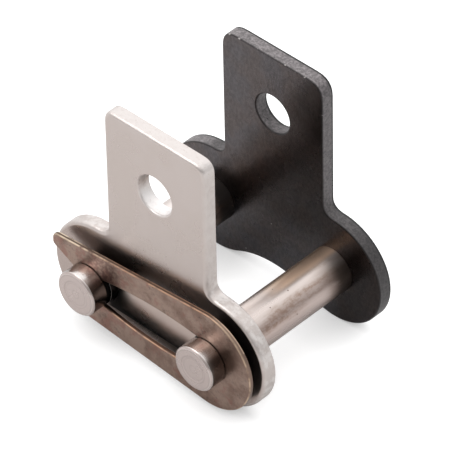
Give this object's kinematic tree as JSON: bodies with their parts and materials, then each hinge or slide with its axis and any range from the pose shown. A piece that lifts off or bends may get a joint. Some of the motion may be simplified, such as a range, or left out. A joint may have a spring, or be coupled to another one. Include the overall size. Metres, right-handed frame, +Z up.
{
  "type": "chain connecting link",
  "caption": "Roller chain connecting link: two plates with straight one-hole tabs on a pair of pins, the loose plate kept on by a spring clip snapped into the pin grooves.",
  "frame": {"origin": "middle of the link's footprint, on the surface that the plates' lobes stand on", "axes": "+X along the pitch towards the clip's closed end, +Y along the pins from the clip towards the riveted ends, +Z up along the tabs"},
  "size_m": [0.034, 0.027, 0.0343],
  "materials": {
    "nickel_plated_steel": "tumbled satin nickel",
    "black_oxide_steel": "satin black oxide",
    "ground_pin_steel": "ground, lightly tempered tan",
    "tempered_spring_steel": "bronze brown temper colour"
  },
  "bodies": {
    "pin_link": {"pin_link_plate": "black_oxide_steel", "pin_left": "ground_pin_steel", "pin_right": "ground_pin_steel", "spring_clip": "tempered_spring_steel"},
    "loose_plate": {"connecting_plate": "nickel_plated_steel"}
  },
  "joints": [
    {"name": "plate_slide", "type": "slide", "parent": "pin_link", "child": "loose_plate", "axis": [0, 1, 0], "range_m": [-0.00105, 0.0177]}
  ]
}
